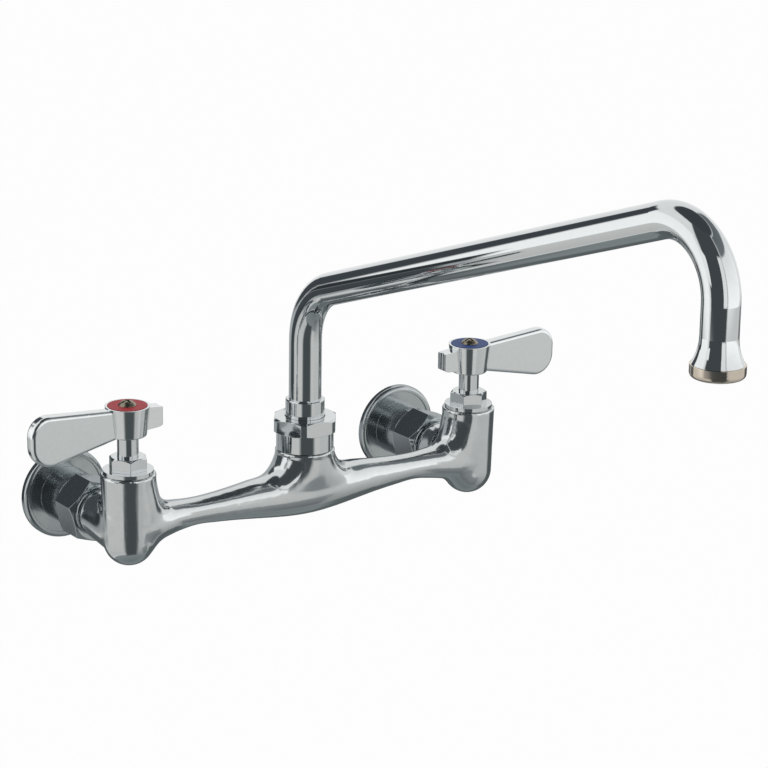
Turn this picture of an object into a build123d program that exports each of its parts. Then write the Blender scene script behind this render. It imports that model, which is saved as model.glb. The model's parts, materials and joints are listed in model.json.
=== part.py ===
from build123d import *
import math
import os

# Commercial wall faucet: a chromed brass casting that stands off the wall on two flanged inlets, with a
# quarter-turn lever valve at each end and a swing spout in the middle.
# Millimetres, +Z up. The origin lies on the wall plane, midway between the inlets and at their height.
# +Y goes into the wall, so the front faces -Y. The hot valve is at -X and the cold valve at +X.

# ---------------------------------------------------------------- overall layout
inlet_centres = 203.2  # 8 in between the two inlets, and between the two valves
standoff = 66.8  # wall to the plane that holds the valve axes and the swing axis
spout_reach = 304.8  # 12 in from the swing axis to the outlet axis
arm_rise = 105.7  # how far the arm climbs over the reach
arm_start_height = 103.6  # where the riser's axis would meet the arm's axis

# ---------------------------------------------------------------- clearances
running_gap = 0.05  # radial, between a turning piece and its bearing
seat_gap = 0.05  # between flat faces that slide on each other
thread_gap = 0.1  # radial, between screwed pieces, whose threads are drawn plain
slip_gap = 0.02  # radial, between pieces pushed or brazed together
loose_gap = 0.3  # where one piece passes another without touching
boolean_reach = 1.0  # how far a cutting tool runs past the face that it cuts
hex_face_inset = 0.3  # every hexagon's end face is turned to this much inside its flats
hex_chamfer_angle = 36.0  # degrees, of the corners turned off a hexagon
hex_edge_round = 0.35

# ---------------------------------------------------------------- body casting
barrel_top_height = 28.9
barrel_top_radius = 13.6
barrel_foot_radius = 12.7
barrel_bottom_height = -17.9
barrel_edge_round = 0.6
fairing_top_height = 24.0  # the fairing spreads each barrel towards the middle, over the bar's root
fairing_top_radius = 13.3
fairing_top_shift = 0.5
fairing_brow_height = 13.5
fairing_brow_shift = 2.1  # towards the middle
fairing_brow_half_width = 14.9
fairing_brow_half_depth = 13.1
fairing_waist_height = 2.3
fairing_waist_shift = 3.0
fairing_waist_half_width = 16.4
fairing_waist_half_depth = 12.6
fairing_keel_height = -6.5
fairing_keel_shift = 2.8
fairing_keel_half_width = 13.6
fairing_keel_half_depth = 11.4
fairing_foot_height = -13.5
fairing_foot_shift = 0.6
fairing_foot_radius = 8.4
bar_height = 2.3  # axis of the cross bar
bar_belly_radius = 12.7  # at the middle of the cross bar
bar_shoulder_radius = 11.3
bar_shoulder_place = 20.0  # distance from the middle
bar_thigh_radius = 8.8
bar_thigh_place = 40.0
bar_slim_radius = 7.2
bar_slim_place = 60.0
bar_flare_radius = 8.6
bar_flare_setback = 23.0  # distance from the valve axis
bar_root_radius = 11.6
bar_root_setback = 12.5
bar_end_radius = 12.2
neck_top_height = 24.1
neck_lip_radius = 15.1
neck_lip_thickness = 1.6
neck_lip_bevel = 0.4
neck_top_radius = 14.5
neck_waist_height = 18.5
neck_waist_half_width = 16.6
neck_waist_half_depth = 14.4
neck_bell_height = 14.3
neck_bell_half_width = 20.0
neck_bell_half_depth = 14.2
neck_skirt_height = 11.0
neck_skirt_half_width = 25.0
neck_skirt_half_depth = 13.8
neck_hem_height = 7.4
neck_hem_half_width = 32.0
neck_hem_half_depth = 13.1
neck_foot_half_width = 38.0
neck_foot_half_depth = 12.3
port_radius = 12.6  # thick part of each rear port
port_collar_end = 43.0  # distance from the wall to where the port begins to swell towards its barrel
port_swell_place = 54.0
port_swell_half_width = 12.8
port_swell_half_height = 14.0
port_root_half_width = 12.5
port_root_half_height = 15.8
port_root_round = 3.0
port_shoulder_round = 1.5
port_nose_radius = 10.6  # part of the port that passes through the coupling nut
port_bore_radius = 6.0
port_bore_wall = 4.9  # metal left between the port bore and the valve chamber
bar_bore_radius = 4.2
feed_radius = 3.2  # sloping passage from the port to the underside of the valve seat
feed_entry_offset = 17.0  # from the valve axis, towards the wall
feed_entry_drop = 3.5
feed_foot_height = -11.5

# ---------------------------------------------------------------- swing joint
post_thread_radius = 12.6
post_height = 35.9
post_bore_bottom = 11.0
post_well_radius = 7.0
post_well_bottom = -3.0
swing_nut_top = 40.9
swing_nut_hex_height = 7.4
swing_nut_bar_radius = 16.8  # round bar that the nut's flats are milled on
swing_nut_flats = 30.5
swing_nut_chamfer_radius = 15.4
swing_nut_chamfer_height = 0.8
swing_nut_collar_radius = 14.4
swing_nut_turn = 55.0  # degrees, places a corner to the front left
swing_nut_roof = 2.2
bearing_thickness = 1.0
ring_thickness = 1.2
ring_width = 2.9
ring_split = 1.6
sleeve_radius = 9.8
sleeve_top = 50.0
sleeve_bottom = 12.5
sleeve_bore_radius = 6.6
sleeve_socket_height = 38.8  # floor of the socket that holds the tube
sleeve_ring_groove_depth = 0.9
sleeve_mark_height = 42.3  # thin turned line just above the nut
sleeve_mark_width = 0.6
sleeve_mark_depth = 0.35
sleeve_top_chamfer = 0.5
spout_seal_wire = 0.85  # radius of the rubber cord in the two O-rings
spout_seal_lower = 18.0
spout_seal_upper = 26.0

# ---------------------------------------------------------------- spout
tube_radius = 8.15
tube_wall = 1.25
riser_bend_radius = 33.0
outlet_bend_radius = 28.5
drop_length = 13.8  # straight tube between the outlet bend and the flare
flare_height = 11.4
flare_radius = 11.2
outlet_ring_height = 5.7
outlet_ring_radius = 11.75
outlet_ring_round = 2.2
outlet_ring_lip = 1.0
outlet_mouth_radius = 8.8
spigot_radius = 10.5
spigot_length = 1.7
spigot_wall = 1.6
outlet_washer_thickness = 1.0
outlet_washer_width = 2.2
jet_hole_radius = 0.8
jet_ring_radii = (3.2, 6.2)
jet_ring_counts = (6, 12)

# ---------------------------------------------------------------- valves
chamber_radius = 9.6
seat_height = -2.0
bonnet_thread_radius = 9.9
bonnet_thread_bottom = 14.5
bonnet_skirt_radius = 9.3
bonnet_skirt_bottom = -1.0
bonnet_skirt_bore = 8.05
bonnet_ceiling = 10.0  # shoulder that keeps the stem from rising
bonnet_collar_radius = 12.35
bonnet_collar_thickness = 2.0
bonnet_hex_height = 6.6
bonnet_hex_flats = 17.0
bonnet_window_height = 5.6
bonnet_window_width = 8.0
bonnet_window_bottom = 3.3
bonnet_turns = {"hot": 8.0, "cold": 38.0}  # degrees, where each hexagon came to rest when tightened
bonnet_seal_wire = 0.83
bonnet_seal_gap = 0.05
seal_thickness = 2.0
seal_bore_radius = 4.2
disc_thickness = 3.0
disc_side_gap = 0.1
disc_port_radius = 2.3
disc_port_offset = 4.6
disc_pocket_depth = 1.2
disc_pocket_width = 5.0
disc_pocket_length = 13.6
stem_radius = 5.2
stem_flange_side_gap = 0.4
stem_tang_width = 4.0
stem_tang_length = 10.0
stem_tang_depth = 1.5
stem_top = 56.5
stem_square = 6.4  # across the squared end that drives the lever
stem_square_bottom = 49.0
stem_seal_wire = 0.8
stem_seal_heights = (19.0, 24.0)
stem_tap_radius = 1.7
stem_tap_depth = 11.0

# ---------------------------------------------------------------- levers
hub_top = 62.8
hub_bottom = 47.9
hub_top_radius = 10.9
hub_bottom_radius = 9.2
hub_lip = 1.2
hub_recess = 1.0
hub_bottom_round = 0.8
lever_reach = 53.0
lever_thickness = 6.7
lever_edge_round = 2.0
lever_root_top = 62.0
lever_root_bottom = 48.1
lever_end_top = 65.4
lever_end_bottom = 37.2
lever_top_corner = 9.5
lever_bottom_corner = 10.5
lever_root_offset = 4.0
tab_reach = 18.7
tab_top = 61.8
tab_end_top = 60.0
tab_bottom = 49.0
tab_end_bottom = 50.6
tab_scoop_radius = 4.6
tab_scoop_depth = 1.6
tab_edge_round = 0.6
tab_corner = 3.5
index_thickness = 1.2  # stands a little above the hub's rim
screw_head_radius = 4.5
screw_head_height = 2.5
screw_shank_radius = 1.65
screw_length = 12.0
screw_slot_width = 1.1
screw_slot_length = 6.0
screw_slot_depth = 1.4

# ---------------------------------------------------------------- inlets
flange_radius = 23.2
flange_thickness = 4.0
flange_edge_round = 2.2
flange_lip_width = 3.2
flange_lip_height = 0.6
flange_hub_radius = 14.0
flange_hub_end = 19.4  # distance from the wall to the front of the hub
flange_hub_bevel = 0.5
nut_flats = 29.3
nut_turns = {"hot": 104.0, "cold": 101.0}  # degrees
nose_thread_radius = 12.2
nose_end = 30.0
flange_bore_radius = 7.0
pipe_thread_radius = 9.4  # bore of the 1/2 in pipe thread, drawn plain
pipe_thread_depth = 14.0
nut_rear = 20.2
nut_front = 38.2
nut_wall = 3.4
washer_thickness = 1.5
keeper_thickness = 1.5  # split ring that the nut pulls on
keeper_depth = 1.0
keeper_split = 2.0

# ---------------------------------------------------------------- derived places
valve_x = {"hot": -inlet_centres / 2, "cold": inlet_centres / 2}
lever_turn = {"hot": 180.0, "cold": 0.0}  # each closed lever points away from the middle
barrel_foot_height = barrel_bottom_height + barrel_foot_radius
post_bore_radius = sleeve_radius + running_gap
bonnet_top = barrel_top_height + bonnet_collar_thickness + bonnet_hex_height
bonnet_bore_radius = stem_radius + running_gap
swing_nut_hex_bottom = swing_nut_top - swing_nut_hex_height
nut_ceiling = swing_nut_top - swing_nut_roof
ring_bottom = post_height + bearing_thickness + loose_gap
port_nose_end = nose_end + washer_thickness
keeper_front = nut_front - nut_wall
fixed_disc_bottom = seat_height + seal_thickness
fixed_disc_top = fixed_disc_bottom + disc_thickness
moving_disc_bottom = fixed_disc_top + seat_gap
moving_disc_top = moving_disc_bottom + disc_thickness
outlet_y = -standoff - spout_reach
outlet_turn = math.pi / 2 + math.atan2(arm_rise, spout_reach)  # angle that the outlet bend turns through
outlet_bend_end = arm_start_height + arm_rise - outlet_bend_radius * math.tan(outlet_turn / 2)
flare_top_height = outlet_bend_end - drop_length
outlet_ring_top = flare_top_height - flare_height
outlet_ring_bottom = outlet_ring_top - outlet_ring_height
spigot_bottom = outlet_ring_top - spigot_length


# ---------------------------------------------------------------- shape helpers
def disc(radius, bottom, top):
    """Solid cylinder on the Z axis."""
    return Pos(0, 0, bottom) * extrude(Circle(radius), amount=top - bottom)


def ring(outer, inner, bottom, top):
    """Tube on the Z axis."""
    return disc(outer, bottom, top) - disc(inner, bottom - boolean_reach, top + boolean_reach)


def block(length, width, bottom, top):
    """Rectangular block around the Z axis, with its length along X."""
    return Pos(0, 0, (bottom + top) / 2) * Box(length, width, top - bottom)


def turned(points):
    """Solid of revolution about Z from (radius, height) points."""
    return revolve(Plane.XZ * make_face(Polyline(*points, close=True)), Axis.Z)


def hex_bar(flats, bottom, top, turn, ends=(True, True)):
    """Hexagonal bar on the Z axis whose corners are turned off at the chosen ends."""
    corner = flats / math.sqrt(3)
    reach = corner + boolean_reach
    cut = flats / 2 - hex_face_inset
    rise = (reach - cut) * math.tan(math.radians(hex_chamfer_angle))
    low = [(cut, bottom), (reach, bottom + rise)] if ends[0] else [(reach, bottom)]
    high = [(reach, top - rise), (cut, top)] if ends[1] else [(reach, top)]
    outline = RegularPolygon(corner, 6)
    outline = fillet(outline.vertices(), hex_edge_round)
    blank = Pos(0, 0, bottom) * extrude(outline, amount=top - bottom)
    return Rot(0, 0, turn) * (blank & turned([(0, bottom), *low, *high, (0, top)]))


def o_ring(centre_radius, wire, height):
    """Rubber ring on the Z axis."""
    return Pos(0, 0, height) * Torus(centre_radius, wire)


def seal_groove(radius, wire, height):
    """What is turned away from a shaft to seat an O-ring."""
    return ring(radius + boolean_reach, radius - 2 * wire, height - wire, height + wire)


def split_ring(outer, inner, bottom, top, gap):
    """Spring ring with a radial cut on its +X side."""
    cutter = Box(outer, gap, top - bottom + 2 * boolean_reach, align=(Align.MIN, Align.CENTER, Align.CENTER))
    return ring(outer, inner, bottom, top) - Pos(0, 0, (bottom + top) / 2) * cutter


def along_wall_axis(shape):
    """Turn a shape drawn on +Z so that it runs from the wall plane towards the front, along -Y."""
    return Rot(90, 0, 0) * shape


# ---------------------------------------------------------------- body casting
def barrel():
    """Outside of one valve chamber: a slim taper over a rounded bottom."""
    outline = [
        CenterArc((0, barrel_foot_height), barrel_foot_radius, 270, 90),
        Line((barrel_foot_radius, barrel_foot_height), (barrel_top_radius, barrel_top_height)),
        Line((barrel_top_radius, barrel_top_height), (0, barrel_top_height)),
        Line((0, barrel_top_height), (0, barrel_bottom_height)),
    ]
    solid = revolve(Plane.XZ * make_face(outline), Axis.Z)
    return fillet(solid.edges().sort_by(Axis.Z)[-1], barrel_edge_round)


def fairing():
    """Swelling on the side of a barrel that faces +X, where the bar runs into it."""
    sections = [
        (fairing_foot_height, fairing_foot_shift, fairing_foot_radius + slip_gap, fairing_foot_radius),
        (fairing_keel_height, fairing_keel_shift, fairing_keel_half_width, fairing_keel_half_depth),
        (fairing_waist_height, fairing_waist_shift, fairing_waist_half_width, fairing_waist_half_depth),
        (fairing_brow_height, fairing_brow_shift, fairing_brow_half_width, fairing_brow_half_depth),
        (fairing_top_height, fairing_top_shift, fairing_top_radius + slip_gap, fairing_top_radius),
    ]
    return loft([Pos(shift, 0, z) * Ellipse(a, b) for z, shift, a, b in sections])


def cross_bar():
    """Bar between the valves: a belly at the middle, slim arms, and a flare into each barrel."""
    half = inlet_centres / 2
    side = [
        (bar_shoulder_place, bar_shoulder_radius),
        (bar_thigh_place, bar_thigh_radius),
        (bar_slim_place, bar_slim_radius),
        (half - bar_flare_setback, bar_flare_radius),
        (half - bar_root_setback, bar_root_radius),
        (half, bar_end_radius),
    ]
    points = [(-x, r) for x, r in reversed(side)] + [(0, bar_belly_radius)] + side
    outline = [
        Spline(*points),
        Line((half, bar_end_radius), (half, 0)),
        Line((half, 0), (-half, 0)),
        Line((-half, 0), (-half, bar_end_radius)),
    ]
    return Pos(0, 0, bar_height) * revolve(Plane.XY * make_face(outline), Axis.X)


def neck():
    """Bell under the swing nut, wide along the bar, and the threaded post above it."""
    sections = [
        (bar_height, neck_foot_half_width, neck_foot_half_depth),
        (neck_hem_height, neck_hem_half_width, neck_hem_half_depth),
        (neck_skirt_height, neck_skirt_half_width, neck_skirt_half_depth),
        (neck_bell_height, neck_bell_half_width, neck_bell_half_depth),
        (neck_waist_height, neck_waist_half_width, neck_waist_half_depth),
        (neck_top_height - neck_lip_bevel, neck_top_radius + slip_gap, neck_top_radius),
    ]
    bell = loft([Pos(0, 0, z) * Ellipse(a, b) for z, a, b in sections])
    lip = disc(neck_lip_radius, neck_top_height - neck_lip_thickness, neck_top_height)
    lip = chamfer(lip.edges().filter_by(GeomType.CIRCLE), neck_lip_bevel)
    return bell + lip + disc(post_thread_radius, bar_height, post_height)


def rear_port():
    """Port that runs from the valve axis back to its coupling nut, drawn along -Y from the wall."""
    sections = [
        (nut_front + loose_gap, port_radius + slip_gap, port_radius),
        (port_collar_end, port_radius + slip_gap, port_radius),
        (port_swell_place, port_swell_half_width, port_swell_half_height),
        (standoff, port_root_half_width, port_root_half_height),
    ]
    shoulder = loft([Pos(0, 0, z) * Ellipse(a, b) for z, a, b in sections])
    shoulder = fillet(shoulder.edges().sort_by(Axis.Z)[0], port_shoulder_round)
    nose = disc(port_nose_radius, port_nose_end, standoff)
    groove = ring(
        port_nose_radius + boolean_reach,
        port_nose_radius - keeper_depth,
        keeper_front - keeper_thickness,
        keeper_front,
    )
    return along_wall_axis(shoulder + nose - groove)


def waterways(side):
    """Everything drilled out for one valve: its chamber, its seat and the passages to and from it."""
    chamber = disc(chamber_radius, seat_height, bonnet_thread_bottom)
    thread = disc(bonnet_thread_radius + thread_gap, bonnet_thread_bottom, barrel_top_height + boolean_reach)
    seal_room = bonnet_thread_radius + 2 * (bonnet_seal_wire + bonnet_seal_gap)
    seal_floor = barrel_top_height - 2 * bonnet_seal_wire - bonnet_seal_gap
    mouth = disc(seal_room, seal_floor, barrel_top_height + boolean_reach)
    well = disc(feed_radius, feed_foot_height, seat_height)
    start = Vector(0, feed_entry_offset, -feed_entry_drop)
    run = Vector(0, 0, feed_foot_height) - start
    feed = Plane(origin=start, z_dir=run) * extrude(Circle(feed_radius), amount=run.length)
    drilled = chamber + thread + mouth + well + feed + Pos(0, 0, feed_foot_height) * Sphere(feed_radius)
    port = disc(port_bore_radius, port_nose_end - boolean_reach, standoff - chamber_radius - port_bore_wall)
    return Pos(valve_x[side], -standoff, 0) * drilled + Pos(valve_x[side], 0, 0) * along_wall_axis(port)


def valve_housing(side):
    """Barrel and rear port, rounded where they meet, with the fairing on the side of the bar."""
    shell = Pos(0, -standoff, 0) * barrel()
    port = rear_port()
    housing = shell + port
    housing = fillet(new_edges(shell, port, combined=housing), port_root_round)
    inward = 180 if valve_x[side] > 0 else 0
    return housing + Pos(0, -standoff, 0) * Rot(0, 0, inward) * fairing()


def faucet_body():
    body = Pos(0, -standoff, 0) * cross_bar()
    for side in valve_x:
        body += Pos(valve_x[side], 0, 0) * valve_housing(side)
    body += Pos(0, -standoff, 0) * neck()
    bore_end = inlet_centres / 2 - bar_bore_radius
    bar_bore = Pos(0, 0, bar_height) * Rot(0, 90, 0) * disc(bar_bore_radius, -bore_end, bore_end)
    well = disc(post_bore_radius, post_bore_bottom, post_height + boolean_reach)
    well += disc(post_well_radius, post_well_bottom, post_bore_bottom)
    body -= Pos(0, -standoff, 0) * (bar_bore + well)
    for side in valve_x:
        body -= waterways(side)
    return body


# ---------------------------------------------------------------- inlets, drawn on +Z from the wall
def inlet_flange():
    """Wall flange, round hub and threaded nose in one piece, tapped for the supply pipe."""
    plate = disc(flange_radius, 0, flange_thickness)
    plate = fillet(plate.edges().sort_by(Axis.Z)[-1], flange_edge_round)
    dish = disc(flange_radius - flange_lip_width, flange_thickness - flange_lip_height, flange_thickness)
    hub = disc(flange_hub_radius, 0, flange_hub_end)
    hub = chamfer(hub.edges().sort_by(Axis.Z)[-1], flange_hub_bevel)
    nose = disc(nose_thread_radius, 0, nose_end)
    bore = disc(flange_bore_radius, -boolean_reach, nose_end + boolean_reach)
    bore += disc(pipe_thread_radius, -boolean_reach, pipe_thread_depth)
    return (plate - dish) + hub + nose - bore


def coupling_nut(side):
    """Hexagon nut that turns freely on the port and screws over the flange's nose."""
    blank = hex_bar(nut_flats, nut_rear, nut_front, nut_turns[side])
    thread = disc(nose_thread_radius + thread_gap, nut_rear - boolean_reach, keeper_front)
    return blank - thread - disc(port_nose_radius + thread_gap, nut_rear, nut_front + boolean_reach)


def inlet_washer():
    return ring(port_nose_radius, flange_bore_radius, nose_end, port_nose_end)


def nut_keeper():
    """Split ring in the port's groove, which carries the pull of the coupling nut."""
    inner = port_nose_radius - keeper_depth + slip_gap
    rear = keeper_front - keeper_thickness + slip_gap
    return split_ring(nose_thread_radius, inner, rear, keeper_front - slip_gap, keeper_split)


# ---------------------------------------------------------------- valves, drawn on the valve axis
def bonnet(side):
    """Cartridge housing: skirt with two side windows, thread, collar and hexagon."""
    collar_top = barrel_top_height + bonnet_collar_thickness
    body = disc(bonnet_skirt_radius, bonnet_skirt_bottom, bonnet_thread_bottom)
    body += disc(bonnet_thread_radius, bonnet_thread_bottom, barrel_top_height)
    body += disc(bonnet_collar_radius, barrel_top_height, collar_top)
    body += hex_bar(bonnet_hex_flats, collar_top, bonnet_top, bonnet_turns[side], ends=(False, True))
    body -= disc(bonnet_skirt_bore, bonnet_skirt_bottom - boolean_reach, bonnet_ceiling)
    body -= disc(bonnet_bore_radius, bonnet_ceiling, bonnet_top + boolean_reach)
    window_top = bonnet_window_bottom + bonnet_window_height
    return body - block(2 * bonnet_collar_radius, bonnet_window_width, bonnet_window_bottom, window_top)


def bonnet_seal():
    radius = bonnet_thread_radius + bonnet_seal_wire + bonnet_seal_gap
    return o_ring(radius, bonnet_seal_wire, barrel_top_height - bonnet_seal_wire - bonnet_seal_gap / 2)


def seat_seal():
    return ring(bonnet_skirt_bore - disc_side_gap, seal_bore_radius, seat_height, fixed_disc_bottom)


def fixed_disc():
    """Lower ceramic disc with its two ports, one on each side of the axis."""
    plate = disc(bonnet_skirt_bore - disc_side_gap, fixed_disc_bottom, fixed_disc_top)
    for offset in (-disc_port_offset, disc_port_offset):
        port = disc(disc_port_radius, fixed_disc_bottom - boolean_reach, fixed_disc_top + boolean_reach)
        plate -= Pos(0, offset, 0) * port
    return plate


def moving_disc():
    """Upper ceramic disc: a pocket that joins the ports when open, and a slot for the stem's tang."""
    plate = disc(bonnet_skirt_bore - 2 * disc_side_gap, moving_disc_bottom, moving_disc_top)
    pocket = SlotOverall(disc_pocket_length, disc_pocket_width)
    plate -= Pos(0, 0, moving_disc_bottom) * extrude(pocket, amount=disc_pocket_depth)
    slot_width = stem_tang_width + 2 * disc_side_gap
    slot_length = stem_tang_length + 2 * disc_side_gap
    slot_bottom = moving_disc_top - stem_tang_depth - seat_gap
    return plate - block(slot_length, slot_width, slot_bottom, moving_disc_top + boolean_reach)


def stem():
    """Spindle from the moving disc up to the lever: tang, flange, seal grooves and a squared end."""
    flange_radius_inside = bonnet_skirt_bore - stem_flange_side_gap
    flange_bottom = moving_disc_top
    body = disc(flange_radius_inside, flange_bottom, bonnet_ceiling - seat_gap)
    body += block(stem_tang_length, stem_tang_width, moving_disc_top - stem_tang_depth, flange_bottom)
    body += disc(stem_radius, flange_bottom, stem_square_bottom)
    body += block(stem_square, stem_square, stem_square_bottom, stem_top)
    for height in stem_seal_heights:
        body -= seal_groove(stem_radius, stem_seal_wire, height)
    return body - disc(stem_tap_radius, stem_top - stem_tap_depth, stem_top + boolean_reach)


def stem_seals():
    rings = [o_ring(stem_radius - stem_seal_wire, stem_seal_wire, height) for height in stem_seal_heights]
    return Compound(rings)


# ---------------------------------------------------------------- levers, drawn pointing along +X
def paddle():
    """Flat blade that widens to a rounded end, and the scooped tab across the hub from it."""
    root = lever_root_offset
    outline = Polyline(
        (root, lever_root_bottom),
        (lever_reach, lever_end_bottom),
        (lever_reach, lever_end_top),
        (root, lever_root_top),
        close=True,
    )
    face = make_face(outline)
    face = fillet(face.vertices().sort_by(Axis.Y)[0], lever_bottom_corner)
    face = fillet(face.vertices().sort_by(Axis.Y)[-1], lever_top_corner)
    blade = extrude(Plane.XZ * face, amount=lever_thickness / 2, both=True)
    rims = [e for e in blade.edges() if abs(abs(e.center().Y) - lever_thickness / 2) < slip_gap]
    rims = [e for e in rims if e.center().X > root + slip_gap]
    return fillet(rims, lever_edge_round)


def tab():
    outline = Polyline(
        (0, tab_bottom),
        (-tab_reach, tab_end_bottom),
        (-tab_reach, tab_end_top),
        (0, tab_top),
        close=True,
    )
    face = make_face(outline)
    blank = extrude(Plane.XZ * face, amount=lever_thickness / 2, both=True)
    scoop_centre = -tab_reach - tab_scoop_radius + tab_scoop_depth
    blank -= Pos(scoop_centre, 0, 0) * disc(tab_scoop_radius, 0, hub_top)
    blank = fillet(blank.edges().filter_by(Axis.Z), tab_edge_round)
    corner = face.vertices().sort_by(Axis.X)[:2].sort_by(Axis.Y)[0]
    return blank & extrude(Plane.XZ * fillet(corner, tab_corner), amount=lever_thickness, both=True)


def lever():
    """One-piece lever: tapered hub, blade, tab, dished top and a square socket for the stem."""
    hub = turned([(0, hub_bottom), (hub_bottom_radius, hub_bottom), (hub_top_radius, hub_top), (0, hub_top)])
    hub = fillet(hub.edges().sort_by(Axis.Z)[0], hub_bottom_round)
    body = hub + paddle() + tab()
    body -= disc(hub_top_radius - hub_lip, hub_top - hub_recess, hub_top + tab_reach)
    socket = stem_square + 2 * slip_gap
    body -= block(socket, socket, hub_bottom, stem_top + seat_gap)
    body -= disc(stem_radius + slip_gap, hub_bottom - boolean_reach, stem_square_bottom + seat_gap)
    return body - disc(screw_shank_radius + thread_gap, stem_top, hub_top)


def index_disc():
    """Coloured plate in the lever's recess."""
    bottom = hub_top - hub_recess
    outer = hub_top_radius - hub_lip - slip_gap
    return ring(outer, screw_shank_radius + thread_gap, bottom, bottom + index_thickness)


def handle_screw():
    """Round-headed cross-slot screw that clamps the lever on the stem."""
    seat = hub_top - hub_recess + index_thickness
    dome = (screw_head_radius**2 + screw_head_height**2) / (2 * screw_head_height)
    head = Pos(0, 0, seat + screw_head_height - dome) * Sphere(dome)
    head &= disc(screw_head_radius, seat, seat + screw_head_height)
    shank = disc(screw_shank_radius, seat - screw_length, seat)
    slot_bottom = seat + screw_head_height - screw_slot_depth
    slot = block(screw_slot_length, screw_slot_width, slot_bottom, slot_bottom + 2 * screw_slot_depth)
    return head + shank - slot - Rot(0, 0, 90) * slot


# ---------------------------------------------------------------- swing joint, drawn on the swing axis
def swing_nut():
    """Nut over the post: flats milled on a round bar, above a plain collar."""
    low, high = swing_nut_hex_bottom, swing_nut_top
    rise = swing_nut_chamfer_height
    bar = turned(
        [
            (0, low),
            (swing_nut_chamfer_radius, low),
            (swing_nut_bar_radius, low + rise),
            (swing_nut_bar_radius, high - rise),
            (swing_nut_chamfer_radius, high),
            (0, high),
        ]
    )
    flats = Pos(0, 0, low) * extrude(RegularPolygon(swing_nut_flats / math.sqrt(3), 6), amount=high - low)
    nut = Rot(0, 0, swing_nut_turn) * (bar & flats)
    nut += disc(swing_nut_collar_radius, neck_top_height + loose_gap, low)
    nut -= disc(post_thread_radius + thread_gap, neck_top_height, nut_ceiling)
    return nut - disc(sleeve_radius + loose_gap, nut_ceiling, high + boolean_reach)


def swing_bearing():
    """Low-friction washer on the end of the post, under the spout's split ring."""
    return ring(post_thread_radius, sleeve_radius + loose_gap, post_height, post_height + bearing_thickness)


def spout_ring():
    """Split ring in the sleeve's groove, trapped under the nut so that the spout can't lift out."""
    inner = sleeve_radius - sleeve_ring_groove_depth
    return split_ring(inner + ring_width, inner, ring_bottom, ring_bottom + ring_thickness, ring_split)


def spout_sleeve():
    """Turned sleeve brazed to the tube: it turns in the post and carries the seals."""
    body = disc(sleeve_radius, sleeve_bottom, sleeve_top)
    body = chamfer(body.edges().sort_by(Axis.Z)[-1], sleeve_top_chamfer)
    body -= disc(sleeve_bore_radius, sleeve_bottom - boolean_reach, sleeve_top)
    body -= disc(tube_radius + slip_gap, sleeve_socket_height, sleeve_top + boolean_reach)
    for height in (spout_seal_lower, spout_seal_upper):
        body -= seal_groove(sleeve_radius, spout_seal_wire, height)
    body -= ring(
        sleeve_radius + boolean_reach,
        sleeve_radius - sleeve_ring_groove_depth - slip_gap,
        ring_bottom - slip_gap,
        ring_bottom + ring_thickness + slip_gap,
    )
    return body - ring(
        sleeve_radius + boolean_reach,
        sleeve_radius - sleeve_mark_depth,
        sleeve_mark_height - sleeve_mark_width / 2,
        sleeve_mark_height + sleeve_mark_width / 2,
    )


def spout_seals():
    heights = (spout_seal_lower, spout_seal_upper)
    return Compound([o_ring(sleeve_radius - spout_seal_wire, spout_seal_wire, z) for z in heights])


# ---------------------------------------------------------------- spout
def tube_path(bottom, top):
    """Centre line in the YZ plane: riser, sloping arm and drop, joined by two bends."""
    corner_height = arm_start_height + arm_rise
    points = [(0, bottom), (0, arm_start_height), (-spout_reach, corner_height), (-spout_reach, top)]
    bends = FilletPolyline(*points, radius=[riser_bend_radius, outlet_bend_radius])
    return Plane.YZ * bends


def tube_solid(radius, bottom, top):
    return sweep(Pos(0, 0, bottom) * Circle(radius), path=tube_path(bottom, top))


def flare(base_radius, end_radius, top, bottom):
    """Trumpet at the end of the drop tube: tangent to the tube, then curving out to the outlet ring."""
    height = top - bottom
    widening = end_radius - base_radius
    sweep_radius = (widening**2 + height**2) / (2 * widening)
    turn = math.degrees(math.asin(height / sweep_radius))
    curve = JernArc((base_radius, top), (0, -1), sweep_radius, turn)
    outline = [
        curve,
        Line(curve @ 1, (0, bottom)),
        Line((0, bottom), (0, top)),
        Line((0, top), (base_radius, top)),
    ]
    return revolve(Plane.XZ * make_face(outline), Axis.Z)


def spout_tube():
    """Bent tube with its flared end and the short spigot that the outlet ring screws on."""
    outside = tube_solid(tube_radius, sleeve_socket_height, flare_top_height)
    inside = tube_solid(tube_radius - tube_wall, sleeve_socket_height - boolean_reach, flare_top_height)
    flare_bottom = outlet_ring_top + slip_gap
    outer_bell = flare(tube_radius, flare_radius, flare_top_height, flare_bottom)
    outer_bell += disc(spigot_radius, spigot_bottom, flare_bottom)
    inner_bell = flare(tube_radius - tube_wall, spigot_radius - spigot_wall, flare_top_height, flare_bottom)
    inner_bell += disc(spigot_radius - spigot_wall, spigot_bottom - boolean_reach, flare_bottom)
    place = Pos(0, -spout_reach, 0)
    return (outside + place * outer_bell) - (inside + place * inner_bell)


def outlet_ring():
    """Ring that holds the flow straightener on the end of the spout."""
    body = disc(outlet_ring_radius, outlet_ring_bottom, outlet_ring_top)
    body = fillet(body.edges().sort_by(Axis.Z)[0], outlet_ring_round)
    lip_top = outlet_ring_bottom + outlet_ring_lip
    body -= disc(spigot_radius + thread_gap, lip_top, outlet_ring_top + boolean_reach)
    return body - disc(outlet_mouth_radius, outlet_ring_bottom - boolean_reach, outlet_ring_top)


def outlet_washer():
    top = spigot_bottom
    return ring(spigot_radius, spigot_radius - outlet_washer_width, top - outlet_washer_thickness, top)


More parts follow.
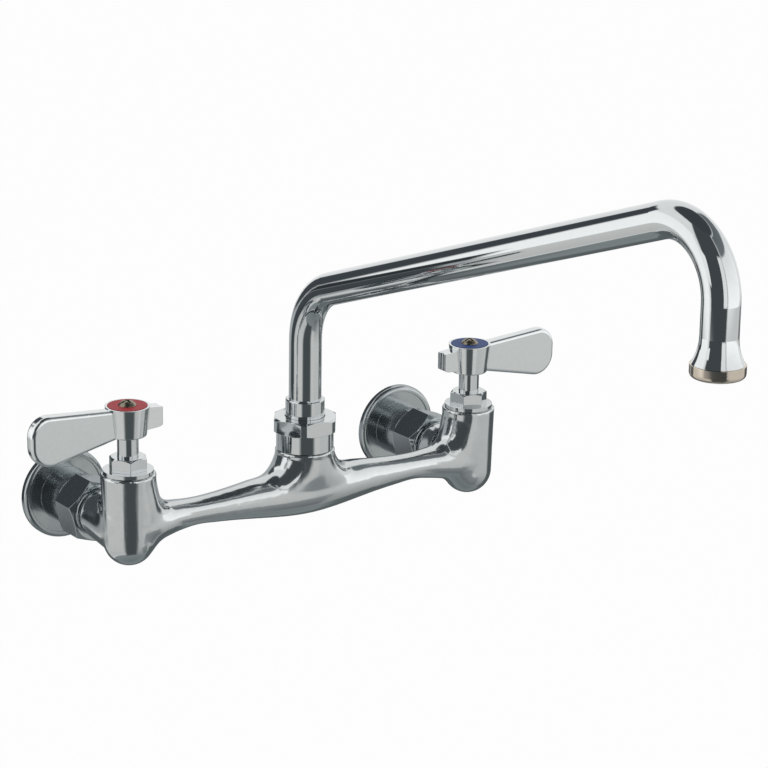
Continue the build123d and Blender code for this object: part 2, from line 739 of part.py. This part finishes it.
def flow_straightener():
    """Perforated plate: one middle hole inside two rings of holes."""
    bottom = outlet_ring_bottom + outlet_ring_lip
    top = spigot_bottom - outlet_washer_thickness
    plate = disc(spigot_radius, bottom, top)
    hole = disc(jet_hole_radius, bottom - boolean_reach, top + boolean_reach)
    plate -= hole
    for radius, count in zip(jet_ring_radii, jet_ring_counts):
        for place in PolarLocations(radius, count):
            plate -= place * hole
    return plate


# ---------------------------------------------------------------- assembly
def build_nodes():
    nodes = {"faucet_body": faucet_body()}
    for side in valve_x:
        inlet = Pos(valve_x[side], 0, 0) * Rot(90, 0, 0)
        valve = Pos(valve_x[side], -standoff, 0)
        handle = valve * Rot(0, 0, lever_turn[side])
        nodes[side + "_inlet_flange"] = inlet * inlet_flange()
        nodes[side + "_coupling_nut"] = inlet * coupling_nut(side)
        nodes[side + "_inlet_washer"] = inlet * inlet_washer()
        nodes[side + "_nut_keeper"] = inlet * nut_keeper()
        nodes[side + "_bonnet"] = valve * bonnet(side)
        nodes[side + "_bonnet_seal"] = valve * bonnet_seal()
        nodes[side + "_seat_seal"] = valve * seat_seal()
        nodes[side + "_fixed_disc"] = valve * fixed_disc()
        nodes[side + "_moving_disc"] = handle * moving_disc()
        nodes[side + "_stem"] = handle * stem()
        nodes[side + "_stem_seals"] = handle * stem_seals()
        nodes[side + "_lever"] = handle * lever()
        nodes[side + "_index_disc"] = handle * index_disc()
        nodes[side + "_handle_screw"] = handle * handle_screw()
    swing = Pos(0, -standoff, 0)
    outlet = Pos(0, outlet_y, 0)
    nodes["swing_nut"] = swing * swing_nut()
    nodes["swing_bearing"] = swing * swing_bearing()
    nodes["spout_ring"] = swing * spout_ring()
    nodes["spout_sleeve"] = swing * spout_sleeve()
    nodes["spout_seals"] = swing * spout_seals()
    nodes["spout_tube"] = swing * spout_tube()
    nodes["outlet_ring"] = outlet * outlet_ring()
    nodes["outlet_washer"] = outlet * outlet_washer()
    nodes["flow_straightener"] = outlet * flow_straightener()
    return nodes


os.makedirs("parts", exist_ok=True)
for name, shape in build_nodes().items():
    export_step(shape, "parts/" + name + ".step")
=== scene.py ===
import json
import math

import bpy
import numpy as np
from mathutils import Matrix, Vector


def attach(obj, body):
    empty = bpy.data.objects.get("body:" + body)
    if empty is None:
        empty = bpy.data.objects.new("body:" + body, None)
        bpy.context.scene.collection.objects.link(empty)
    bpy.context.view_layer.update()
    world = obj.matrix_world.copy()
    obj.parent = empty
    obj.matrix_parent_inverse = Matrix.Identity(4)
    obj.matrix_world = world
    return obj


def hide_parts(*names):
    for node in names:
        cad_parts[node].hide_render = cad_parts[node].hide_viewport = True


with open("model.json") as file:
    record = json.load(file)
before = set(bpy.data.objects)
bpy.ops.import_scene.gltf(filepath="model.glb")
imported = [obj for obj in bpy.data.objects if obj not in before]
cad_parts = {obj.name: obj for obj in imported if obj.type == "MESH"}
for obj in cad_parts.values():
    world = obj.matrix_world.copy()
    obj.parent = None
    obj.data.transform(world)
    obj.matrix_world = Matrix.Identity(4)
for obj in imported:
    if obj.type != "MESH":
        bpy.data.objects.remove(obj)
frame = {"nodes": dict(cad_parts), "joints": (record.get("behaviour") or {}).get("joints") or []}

nodes = frame["nodes"]
joints = {joint["name"]: joint for joint in frame["joints"]}
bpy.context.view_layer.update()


def linear(hexColour):  # sRGB hex to the linear values that shaders want
    parts = [int(hexColour[i:i + 2], 16) / 255 for i in (1, 3, 5)]
    return [c / 12.92 if c <= 0.04045 else ((c + 0.055) / 1.055) ** 2.4 for c in parts] + [1.0]


def addNode(owner, kind, settings=None, links=None):  # sockets go by name, or by number where a name repeats
    made = owner.node_tree.nodes.new(kind)
    for name, value in (settings or {}).items():
        if isinstance(name, int) or name in made.inputs:
            made.inputs[name].default_value = value
        else:
            setattr(made, name, value)
    for name, source in (links or {}).items():
        owner.node_tree.links.new(source, made.inputs[name])
    return made


def newMaterial(name):
    made = bpy.data.materials.new(name)
    made.use_nodes = True
    made.node_tree.nodes.clear()
    return made


def finishMaterial(material, shader):
    addNode(material, "ShaderNodeOutputMaterial", links={"Surface": shader.outputs[0]})
    return material


viewSettings = {
    "target": (0.0721, -0.03217, 0.03663),
    "azimuth": -34.94,  # degrees from looking straight at the wall
    "elevation": 16.84,
    "roll": 0.84,
    "distance": 1.49047,
    "lens": 133.37,
    "sensor": 36,
    "farEnd": 50,
}


def makeCamera(s):
    turn = Matrix.Rotation(math.radians(s["azimuth"]), 4, "Z")
    tilt = Matrix.Rotation(math.radians(90 - s["elevation"]), 4, "X")
    roll = Matrix.Rotation(math.radians(s["roll"]), 4, "Z")
    back = Matrix.Translation((0, 0, s["distance"]))
    data = bpy.data.cameras.new("photoCamera")
    data.lens = s["lens"]
    data.sensor_width = s["sensor"]
    data.clip_end = s["farEnd"]
    camera = bpy.data.objects.new("photoCamera", data)
    bpy.context.scene.collection.objects.link(camera)
    camera.matrix_world = Matrix.Translation(s["target"]) @ turn @ tilt @ roll @ back
    bpy.context.scene.camera = camera


makeCamera(viewSettings)
bpy.context.scene.view_settings.view_transform = "Standard"
print("camera set")


def seesStudio(owner):  # 1 for camera, mirror and glass rays, 0 for the light that falls on things
    path = addNode(owner, "ShaderNodeLightPath").outputs
    first = addNode(owner, "ShaderNodeMath", {"operation": "MAXIMUM"},
                    {0: path["Is Camera Ray"], 1: path["Is Glossy Ray"]})
    second = addNode(owner, "ShaderNodeMath", {"operation": "MAXIMUM"},
                     {0: first.outputs[0], 1: path["Is Transmission Ray"]})
    return second.outputs[0]


airSettings = {"seen": 1.0, "light": 0.5}  # strength of the white that shows, and of the light it sheds


def makeWorld(s):
    world = bpy.data.worlds.new("studioAir")
    world.use_nodes = True
    world.node_tree.nodes.clear()
    light = addNode(world, "ShaderNodeBackground", {"Color": (1, 1, 1, 1), "Strength": s["light"]})
    seen = addNode(world, "ShaderNodeBackground", {"Color": (1, 1, 1, 1), "Strength": s["seen"]})
    mix = addNode(world, "ShaderNodeMixShader",
                  links={0: seesStudio(world), 1: light.outputs[0], 2: seen.outputs[0]})
    addNode(world, "ShaderNodeOutputWorld", links={"Surface": mix.outputs[0]})
    bpy.context.scene.world = world


floorSettings = {
    "height": -1.6,
    "size": 24.0,
    "paper": "#f6f6f6",
    "glow": 0.97,  # share of the paper's look that is lit from within, so that the white runs through
}


def makeFloor(s):
    bpy.ops.object.select_all(action="DESELECT")
    bpy.ops.mesh.primitive_plane_add(size=s["size"], location=(0, 0, s["height"]))
    floor = bpy.context.object
    floor.name = "paperFloor"
    paper = newMaterial("white sweep paper")  # matt white that takes a faint shadow
    matt = addNode(paper, "ShaderNodeBsdfDiffuse", {"Color": linear(s["paper"])})
    glow = addNode(paper, "ShaderNodeEmission", {"Color": (1, 1, 1, 1), "Strength": 1.0})
    share = addNode(paper, "ShaderNodeMath", {"operation": "MULTIPLY", 1: s["glow"]},
                    {0: seesStudio(paper)})
    mix = addNode(paper, "ShaderNodeMixShader",
                  links={0: share.outputs[0], 1: matt.outputs[0], 2: glow.outputs[0]})
    floor.data.materials.append(finishMaterial(paper, mix))


lampSettings = {
    "place": (-0.3, -0.7, 1.3),
    "aim": (0, -0.1, 0),
    "size": (1.2, 1.0),
    "power": 10.0,
}


def makeLamp(s):
    data = bpy.data.lights.new("topBox", "AREA")
    data.shape = "RECTANGLE"
    data.size, data.size_y = s["size"]
    data.energy = s["power"]
    lamp = bpy.data.objects.new("topBox", data)
    bpy.context.scene.collection.objects.link(lamp)
    lamp.location = s["place"]
    lamp.rotation_euler = (Vector(s["aim"]) - Vector(s["place"])).to_track_quat("-Z", "Y").to_euler()
    lamp.visible_camera = False
    lamp.visible_glossy = False


valveAcross, valveOut = joints["cold_valve"]["pos_m"][:2]  # the hot valve mirrors it
portOut = -0.045  # from the wall to the middle of each rear port

tentSettings = {  # the boards that the chrome mirrors
    "middle": (0.02, -0.10, 0.04),
    "tent": 1.0,  # distance of a board from its middle
    "step": 0.01,  # each board hangs this much farther out than the one before it in the list
    "fade": (0.08, 0.08),  # share of the board over which each rim fades, across and up
    "power": 1.0,
    "panes": (24, 16),
}
# nearest first: turn is degrees to the right of the camera's side, lift is degrees up,
# low and high are the colours of the lower and the upper rim
studioBoards = [
    {"name": "riserCard", "turn": (-117, -83), "lift": (-30, 12), "low": "#363c3f", "high": "#363c3f",
     "middle": (0, -0.067, 0.08), "tent": 0.25, "fade": (0.12, 0.1)},
    {"name": "coldCard", "turn": (16, 44), "lift": (-38, 10), "low": "#d8d8d6", "high": "#e4e4e2",
     "middle": (valveAcross, valveOut, 0.03), "tent": 0.25, "fade": (0.15, 0.15)},
    {"name": "coldFootCard", "turn": (8, 64), "lift": (-70, -33), "low": "#74797b", "high": "#a0a4a6",
     "middle": (valveAcross, valveOut, 0.03), "tent": 0.25, "fade": (0.15, 0.15)},
    {"name": "coldBackCard", "turn": (-188, -98), "lift": (-42, 5), "low": "#43494c", "high": "#3c4245",
     "middle": (valveAcross, valveOut, 0.02), "tent": 0.2, "fade": (0.1, 0.1)},
    {"name": "coldPortCard", "turn": (-165, -100), "lift": (0, 44), "low": "#4a5054", "high": "#4a5054",
     "middle": (valveAcross, portOut, 0), "tent": 0.07, "fade": (0.12, 0.15)},
    {"name": "hotPortCard", "turn": (-165, -98), "lift": (-4, 44), "low": "#4a5054", "high": "#4a5054",
     "middle": (-valveAcross, portOut, 0), "tent": 0.07, "fade": (0.12, 0.15)},
    {"name": "hotWallCard", "turn": (120, 300), "lift": (-42, 42), "low": "#a0a4a6", "high": "#c8ccce",
     "middle": (-valveAcross, 0, 0), "tent": 0.06, "fade": (0.15, 0.2)},
    {"name": "coldWallCard", "turn": (120, 300), "lift": (-42, 42), "low": "#a0a4a6", "high": "#c8ccce",
     "middle": (valveAcross, 0, 0), "tent": 0.06, "fade": (0.15, 0.2)},
    {"name": "leftStrip", "turn": (-57, -40), "lift": (3, 25), "low": "#ffffff", "high": "#ffffff",
     "power": 1.15},
    {"name": "rightStrip", "turn": (14, 31), "lift": (-3, 42), "low": "#ffffff", "high": "#f4f4f4",
     "power": 1.1},
    {"name": "cameraFlag", "turn": (-53, 35), "lift": (-14, 68), "low": "#4c5154", "high": "#4c5154"},
    {"name": "cameraApron", "turn": (-27, 45), "lift": (-58, -6), "low": "#52585a", "high": "#52585a",
     "fade": (0.2, 0.1)},
    {"name": "backLeftFlag", "turn": (-152, -116), "lift": (-10, 43), "low": "#4a5054", "high": "#444a50",
     "fade": (0.15, 0.1)},
    {"name": "leftSoftbox", "turn": (-119, -57), "lift": (-14, 36), "low": "#ffffff", "high": "#f8f8f8",
     "power": 1.3},
    {"name": "rightSoftbox", "turn": (31, 112), "lift": (-7, 42), "low": "#ffffff", "high": "#dcdcdc",
     "power": 1.4},
    {"name": "backLow", "turn": (106, 247), "lift": (-60, -4), "low": "#6a7072", "high": "#565c5e",
     "fade": (0.08, 0.15)},
    {"name": "leftApron", "turn": (-118, -14), "lift": (-50, -10), "low": "#d4d4d2", "high": "#e4e4e2"},
    {"name": "rightTable", "turn": (30, 118), "lift": (-62, 0), "low": "#8c9092", "high": "#eeeeec",
     "fade": (0.08, 0.04)},
    {"name": "rightCeiling", "turn": (30, 145), "lift": (37, 62), "low": "#80868a", "high": "#6c7276"},
    {"name": "overheadFlag", "turn": (-180, 180), "lift": (60, 95), "low": "#464c50", "high": "#42484c",
     "fade": (0.0001, 0.12)},
    {"name": "floorCard", "turn": (-180, 180), "lift": (-95, -48), "low": "#7c8284", "high": "#969c9e",
     "fade": (0.0001, 0.1)},
]


def boardMaterial(b):  # a card or softbox cloth whose rim fades, as an unfocused edge does
    made = newMaterial(b["name"])
    place = addNode(made, "ShaderNodeTexCoord")
    apart = addNode(made, "ShaderNodeSeparateXYZ", links={"Vector": place.outputs["UV"]})
    rims = []
    for side, fade in zip(("X", "Y"), b["fade"]):
        away = addNode(made, "ShaderNodeMath", {"operation": "PINGPONG", 1: 0.5}, {0: apart.outputs[side]})
        rim = addNode(made, "ShaderNodeMapRange", {"interpolation_type": "SMOOTHSTEP", "From Min": 0.0,
                      "From Max": fade}, {"Value": away.outputs[0]})
        rims.append(rim.outputs[0])
    both = addNode(made, "ShaderNodeMath", {"operation": "MULTIPLY"}, {0: rims[0], 1: rims[1]})
    shade = addNode(made, "ShaderNodeMix", {"data_type": "RGBA", 6: linear(b["low"]), 7: linear(b["high"])},
                    {0: apart.outputs["Y"]})
    clear = addNode(made, "ShaderNodeBsdfTransparent")
    cloth = addNode(made, "ShaderNodeEmission", {"Strength": b["power"]}, {"Color": shade.outputs[2]})
    mix = addNode(made, "ShaderNodeMixShader",
                  links={0: both.outputs[0], 1: clear.outputs[0], 2: cloth.outputs[0]})
    return finishMaterial(made, mix)


def makeBoard(b, away):  # a curved board round the faucet, seen by mirror rays alone
    bpy.ops.object.select_all(action="DESELECT")
    bpy.ops.mesh.primitive_grid_add(x_subdivisions=b["panes"][0], y_subdivisions=b["panes"][1], size=1)
    board = bpy.context.object
    board.name = b["name"]
    facing = viewSettings["azimuth"] - 90
    for v in board.data.vertices:
        turn = math.radians(facing + b["turn"][0] + (v.co.x + 0.5) * (b["turn"][1] - b["turn"][0]))
        lift = math.radians(b["lift"][0] + (v.co.y + 0.5) * (b["lift"][1] - b["lift"][0]))
        out = Vector((math.cos(turn) * math.cos(lift), math.sin(turn) * math.cos(lift), math.sin(lift)))
        v.co = Vector(b["middle"]) + (b["tent"] + away) * out
    board.data.materials.append(boardMaterial(b))
    board.visible_camera = False
    board.visible_diffuse = False
    board.visible_shadow = False


makeWorld(airSettings)
makeFloor(floorSettings)
for order, board in enumerate(studioBoards):
    makeBoard({**tentSettings, **board}, tentSettings["step"] * order)
makeLamp(lampSettings)
print("studio set")

plating = {  # what all metal finishes share
    "hazeRange": (0.35, 0.7),  # the noise values that the roughness runs between
    "hazeDetail": 4.0,
    "rippleDetail": 1.0,
    "rippleHeight": 0.0002,
    "edgeSamples": 6,
}


def metalMaterial(name, finish):  # metal with polish haze, a slow ripple, and edges rounded by the polishing
    s = {**plating, **finish}
    made = newMaterial(name)
    place = addNode(made, "ShaderNodeTexCoord").outputs["Object"]
    ripple = addNode(made, "ShaderNodeTexNoise",
                     {"Scale": 1000 / s["rippleMm"], "Detail": s["rippleDetail"]}, {"Vector": place})
    haze = addNode(made, "ShaderNodeTexNoise",
                   {"Scale": 1000 / s["hazeMm"], "Detail": s["hazeDetail"]}, {"Vector": place})
    rough = addNode(made, "ShaderNodeMapRange",
                    {"From Min": s["hazeRange"][0], "From Max": s["hazeRange"][1],
                     "To Min": s["rough"][0], "To Max": s["rough"][1]}, {"Value": haze.outputs[0]})
    worn = addNode(made, "ShaderNodeBevel", {"samples": s["edgeSamples"], "Radius": s["edgeMm"] / 1000})
    bump = addNode(made, "ShaderNodeBump",
                   {"Strength": s["rippleStrength"], "Distance": s["rippleHeight"]},
                   {"Height": ripple.outputs[0], "Normal": worn.outputs[0]})
    colour = addNode(made, "ShaderNodeMix",
                     {"data_type": "RGBA", 6: linear(s["light"]), 7: linear(s["dark"])},
                     {0: haze.outputs[0]})
    metal = addNode(made, "ShaderNodeBsdfPrincipled", {"Metallic": 1.0},
                    {"Base Color": colour.outputs[2], "Roughness": rough.outputs[0],
                     "Normal": bump.outputs[0]})
    return finishMaterial(made, metal)


# tube and turned pieces: hard, clear streaks
chrome = metalMaterial("polished chrome plate", {
    "light": "#d4d7d8", "dark": "#ccd0d1", "rippleMm": 14, "rippleStrength": 0.05,
    "hazeMm": 2.5, "rough": (0.03, 0.06), "edgeMm": 0.25})
# the body: plating over a fettled casting, so its streaks have soft borders
castChrome = metalMaterial("chrome plate on the casting", {
    "light": "#d2d5d6", "dark": "#c8cccd", "rippleMm": 18, "rippleStrength": 0.08,
    "hazeMm": 3.0, "rough": (0.09, 0.15), "edgeMm": 0.35})
# flanges: duller and darker than the tube chrome
flangeChrome = metalMaterial("satin chrome plate", {
    "light": "#b4b9bb", "dark": "#aab0b2", "rippleMm": 10, "rippleStrength": 0.05,
    "hazeMm": 4.0, "rough": (0.15, 0.19), "edgeMm": 0.4})
# coupling nuts: dark mirror faces with light corners; their darker colour is painted shade
nutChrome = metalMaterial("chrome plate on hexagon bar", {
    "light": "#b9bec0", "dark": "#adb3b5", "rippleMm": 12, "rippleStrength": 0.1,
    "hazeMm": 2.5, "rough": (0.08, 0.14), "edgeMm": 0.5})
# levers: bright and slightly milky, with gently uneven faces
leverChrome = metalMaterial("soft chrome plate", {
    "light": "#dfe2e2", "dark": "#d5d9da", "rippleMm": 9, "rippleStrength": 0.1,
    "hazeMm": 2.5, "rough": (0.08, 0.14), "edgeMm": 0.3})
# outlet ring: warmer than the chrome beside it
nickel = metalMaterial("polished nickel plate", {
    "light": "#d8cdbf", "dark": "#cdc2b4", "rippleMm": 14, "rippleStrength": 0.05,
    "hazeMm": 2.5, "rough": (0.05, 0.1), "edgeMm": 0.25})
# handle screws: dull yellowish metal with a dark cross
screwMetal = metalMaterial("dulled screw metal", {
    "light": "#b0a796", "dark": "#625a4c", "rippleMm": 3, "rippleStrength": 0.2,
    "hazeMm": 1.0, "rough": (0.2, 0.34), "edgeMm": 0.3})
# inside parts and split rings: raw yellow metal
bareBrass = metalMaterial("bare brass", {
    "light": "#c2a35f", "dark": "#a88b4d", "rippleMm": 6, "rippleStrength": 0.1,
    "hazeMm": 1.5, "rough": (0.2, 0.32), "edgeMm": 0.2})

moulding = {  # what all moulded and painted finishes share
    "grainDetail": 3.0,
    "grainStrength": 0.15,
    "grainHeight": 0.0001,
    "shine": 0.5,
}


def plasticMaterial(name, finish):  # a fine grain, in colour and in height
    s = {**moulding, **finish}
    made = newMaterial(name)
    place = addNode(made, "ShaderNodeTexCoord").outputs["Object"]
    grain = addNode(made, "ShaderNodeTexNoise",
                    {"Scale": 1000 / s["grainMm"], "Detail": s["grainDetail"]}, {"Vector": place})
    bump = addNode(made, "ShaderNodeBump", {"Strength": s["grainStrength"], "Distance": s["grainHeight"]},
                   {"Height": grain.outputs[0]})
    colour = addNode(made, "ShaderNodeMix",
                     {"data_type": "RGBA", 6: linear(s["light"]), 7: linear(s["dark"])},
                     {0: grain.outputs[0]})
    body = addNode(made, "ShaderNodeBsdfPrincipled",
                   {"Roughness": s["rough"], "IOR": s["ior"], "Specular IOR Level": s["shine"]},
                   {"Base Color": colour.outputs[2], "Normal": bump.outputs[0]})
    return finishMaterial(made, body)


# seals and washers: matt black that swallows most light
rubber = plasticMaterial("moulded rubber", {
    "light": "#1c1c1c", "dark": "#121212", "grainMm": 0.8, "rough": 0.6, "ior": 1.52})
# valve discs: off-white with a low, even gloss
ceramic = plasticMaterial("lapped ceramic", {
    "light": "#dcd8cf", "dark": "#cdc8be", "grainMm": 1.5, "rough": 0.2, "ior": 1.6})
# swing bearing: waxy white
whitePlastic = plasticMaterial("natural acetal", {
    "light": "#e4e4e0", "dark": "#d8d8d2", "grainMm": 1.5, "rough": 0.4, "ior": 1.48})
# flow straightener: plain mid grey with a soft sheen
greyPlastic = plasticMaterial("grey moulded plastic", {
    "light": "#777a7c", "dark": "#6a6d6f", "grainMm": 1.0, "rough": 0.45, "ior": 1.5})
# hub plates: deep enamel, mottled and nearly without gloss
redPlate = plasticMaterial("red enamelled plate", {
    "light": "#b4323a", "dark": "#7e1c24", "grainMm": 0.9, "rough": 0.4, "ior": 1.45, "shine": 0.12})
bluePlate = plasticMaterial("blue enamelled plate", {
    "light": "#2c4c86", "dark": "#1a2f5c", "grainMm": 0.9, "rough": 0.4, "ior": 1.45, "shine": 0.12})

finishes = {
    "chrome": chrome, "lever_chrome": leverChrome, "nickel": nickel, "screw_metal": screwMetal,
    "bare_brass": bareBrass, "spring_bronze": bareBrass, "rubber": rubber, "ceramic": ceramic,
    "bearing_plastic": whitePlastic, "grey_plastic": greyPlastic, "hot_red": redPlate,
    "cold_blue": bluePlate,
}
inletFinishes = {"inlet_flange": flangeChrome, "coupling_nut": nutChrome}


def dressPieces():  # each piece by its CAD material, the inlet pieces by what they are
    for piece in nodes.values():
        for slot in piece.material_slots:
            slot.material = finishes[slot.material.name.split(".")[0]]
    for side in ("hot", "cold"):
        for name, finish in inletFinishes.items():
            for slot in nodes[side + "_" + name].material_slots:
                slot.material = finish


dressPieces()
print("materials set")

castingSettings = {  # lengths in millimetres
    "mergeWithin": 0.002,
    "voxel": 0.75,
    "evenRounds": 10,  # light passes that settle the fresh surface
    "evenIn": 0.5,
    "evenOut": 0.52,
    "shortEdge": 0.05,  # a shorter edge counts as this long
    "bendLimit": 0.2,  # per millimetre; a sharper bend than this is a foundry corner to be blended
    "spreadRounds": 110,  # passes that widen the blend round each corner
    "spreadShare": 0.6,
    "spreadGain": 4,
    "rimRounds": 6,  # passes that soften where it meets kept edges
    "blendRounds": 420,  # passes that smooth the surface under it
    "blendShare": 0.5,
    "keepMouth": 26.0,  # heights and depths past which machined edges stay as they are
    "keepNeck": 21.2,
    "keepPort": 42.5,
    "neckReach": 40,  # how far to each side of the middle the neck's lip goes
    "valveBore": 11,  # radius round each valve's axis that stays too
}


def passAround(values, ends, count):  # mean of each point's neighbours
    total = np.zeros_like(values)
    for axis in range(values.shape[1]):
        total[:, axis] = np.bincount(ends[:, 0], values[ends[:, 1], axis], len(values))
    return total / count[:, None]


def placePoints(mesh, points):
    mesh.vertices.foreach_set("co", points.ravel() / 1000)
    mesh.update()


def surfaceNormals(mesh):
    found = np.empty(len(mesh.vertices) * 3)
    mesh.vertices.foreach_get("normal", found)
    return found.reshape(-1, 3)


def castingSkin(s):  # a merged copy of the body under one even skin
    source = nodes["faucet_body"]
    mesh = source.data.copy()
    mesh.transform(source.matrix_world)
    casting = bpy.data.objects.new("bodyCasting", mesh)
    bpy.context.scene.collection.objects.link(casting)
    bpy.ops.object.select_all(action="DESELECT")
    casting.select_set(True)
    bpy.context.view_layer.objects.active = casting
    bpy.ops.object.mode_set(mode="EDIT")
    bpy.ops.mesh.select_all(action="SELECT")
    bpy.ops.mesh.remove_doubles(threshold=s["mergeWithin"] / 1000)
    bpy.ops.object.mode_set(mode="OBJECT")
    skin = casting.modifiers.new("skin", "REMESH")
    skin.mode = "VOXEL"
    skin.voxel_size = s["voxel"] / 1000
    bpy.ops.object.modifier_apply(modifier=skin.name)
    return casting


def foundryCorners(points, normals, pairs, ends, count, s):  # 1 where corners are to be blended, 0 where kept
    run = points[pairs[:, 1]] - points[pairs[:, 0]]
    turn = np.linalg.norm(normals[pairs[:, 1]] - normals[pairs[:, 0]], axis=1)
    bend = turn / np.maximum(np.linalg.norm(run, axis=1), s["shortEdge"])
    corner = np.zeros(len(points))
    np.maximum.at(corner, pairs[:, 0], bend)
    np.maximum.at(corner, pairs[:, 1], bend)
    away = np.abs(points[:, 0])
    kept = (points[:, 2] > s["keepMouth"]) | ((points[:, 2] > s["keepNeck"]) & (away < s["neckReach"]))
    kept |= points[:, 1] > -s["keepPort"]
    fromAxis = np.hypot(away - 1000 * valveAcross, points[:, 1] - 1000 * valveOut)
    kept |= fromAxis < s["valveBore"]
    mark = ((corner > s["bendLimit"]) & ~kept).astype(float)[:, None]
    for _ in range(s["spreadRounds"]):
        mark += s["spreadShare"] * (passAround(mark, ends, count) - mark)
    mark = np.clip(mark * s["spreadGain"], 0, 1)
    mark[kept] = 0
    for _ in range(s["rimRounds"]):
        mark += s["spreadShare"] * (passAround(mark, ends, count) - mark)
    return mark


def makeCasting(s):  # the body as cast: one skin whose barrels, ports, bar and neck flow together
    casting = castingSkin(s)
    mesh = casting.data
    points = np.empty(len(mesh.vertices) * 3)
    mesh.vertices.foreach_get("co", points)
    points = points.reshape(-1, 3) * 1000
    pairs = np.empty(len(mesh.edges) * 2, dtype=np.int64)
    mesh.edges.foreach_get("vertices", pairs)
    pairs = pairs.reshape(-1, 2)
    ends = np.vstack([pairs, pairs[:, ::-1]])
    count = np.bincount(ends[:, 0], minlength=len(points))
    for _ in range(s["evenRounds"]):  # a pass in and a pass out, so that nothing shrinks
        points += s["evenIn"] * (passAround(points, ends, count) - points)
        points -= s["evenOut"] * (passAround(points, ends, count) - points)
    placePoints(mesh, points)
    mark = foundryCorners(points, surfaceNormals(mesh), pairs, ends, count, s)
    for _ in range(s["blendRounds"]):
        points += s["blendShare"] * mark * (passAround(points, ends, count) - points)
    placePoints(mesh, points)
    bpy.ops.object.shade_smooth()
    mesh.materials.clear()
    mesh.materials.append(castChrome)
    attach(casting, "faucet")
    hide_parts("faucet_body")


makeCasting(castingSettings)
print("casting made")
